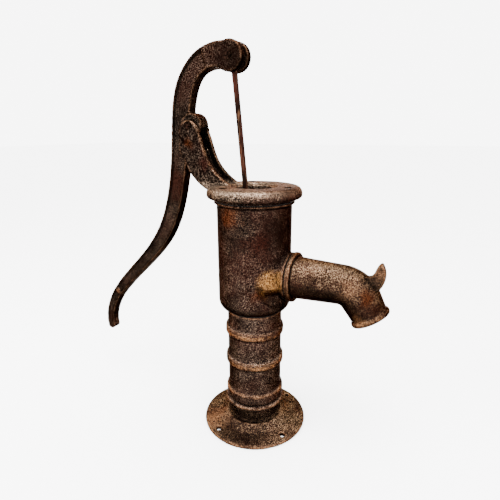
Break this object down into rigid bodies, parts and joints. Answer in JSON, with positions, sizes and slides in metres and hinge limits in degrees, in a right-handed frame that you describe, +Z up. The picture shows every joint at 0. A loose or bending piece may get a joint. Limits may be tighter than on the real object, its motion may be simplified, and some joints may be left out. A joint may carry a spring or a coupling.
{
  "type": "hand well pump",
  "caption": "Cast-iron hand well pump: round flanged foot, ringed column, barrel with an elbow spout and bucket hook, and a long S-shaped lever that works a piston rod.",
  "frame": {"origin": "centre of the foot flange's underside, on the pump's vertical axis", "axes": "+Z up along the pump axis, +X along the spout away from the lever, +Y to the left of the spout"},
  "size_m": [0.5944, 0.192, 0.6689],
  "materials": {
    "bronzed_iron": "sand-cast iron with an aged bronze finish: dark brown, rubbed to copper on raised edges, satin",
    "dark_steel": "dark brown finished steel, satin",
    "split_pin_steel": "drawn wire, dull",
    "rod_steel": "round steel bar, brown finish rubbed bright in places",
    "inner_steel": "turned steel, dull and damp",
    "inner_iron": "raw sand-cast iron",
    "valve_leather": "thick oiled leather, matte",
    "valve_brass": "turned brass, slightly tarnished",
    "gasket_rubber": "matte black rubber"
  },
  "bodies": {
    "pump": {"base_flange": "bronzed_iron", "foot_valve_gasket": "valve_leather", "column": "bronzed_iron", "barrel_seal": "gasket_rubber", "barrel": "bronzed_iron", "spout_gasket": "gasket_rubber", "spout": "bronzed_iron", "cap_gasket": "gasket_rubber", "cap": "bronzed_iron", "cap_screws": "dark_steel", "fulcrum_pin": "dark_steel", "fulcrum_pin_washer": "dark_steel", "fulcrum_pin_split_pin": "split_pin_steel"},
    "lever": {"handle": "bronzed_iron", "handle_bush": "valve_brass", "head_pin": "dark_steel", "head_pin_washer": "dark_steel", "head_pin_split_pin": "split_pin_steel"},
    "rod": {"rod_head_eye": "rod_steel", "piston_rod": "rod_steel"},
    "piston": {"piston_clevis": "inner_steel", "wrist_pin": "inner_steel", "wrist_pin_washer": "inner_steel", "wrist_pin_split_pin": "split_pin_steel", "clevis_lock_nut": "inner_steel", "piston_body": "inner_iron", "piston_cup": "valve_leather", "piston_follower": "inner_iron"},
    "lift_valve": {"piston_valve": "valve_brass"},
    "foot_valve": {"foot_valve_flap": "valve_leather", "foot_valve_weight": "inner_iron", "foot_valve_rivet": "valve_brass"}
  },
  "joints": [
    {"name": "lever_swing", "type": "hinge", "parent": "pump", "child": "lever", "pos_m": [-0.113, 0, 0.5435], "axis": [0, 1, 0], "range_deg": [0, 42]},
    {"name": "rod_swing", "type": "hinge", "parent": "lever", "child": "rod", "pos_m": [-0.0365, 0, 0.6455], "axis": [0, 1, 0], "range_deg": [-34, 0]},
    {"name": "piston_stroke", "type": "slide", "parent": "pump", "child": "piston", "axis": [0, 0, 1], "range_m": [-0.0765, 0]},
    {"name": "lift_valve_travel", "type": "slide", "parent": "piston", "child": "lift_valve", "axis": [0, 0, 1], "range_m": [0, 0.005]},
    {"name": "foot_valve_lift", "type": "hinge", "parent": "pump", "child": "foot_valve", "pos_m": [-0.029, 0, 0.028], "axis": [0, -1, 0], "range_deg": [0, 32]}
  ],
  "couplings": [
    {"joint": "rod_swing", "follows": "lever_swing", "ratio": -0.803},
    {"joint": "piston_stroke", "follows": "lever_swing", "m_per_rad": -0.104}
  ]
}
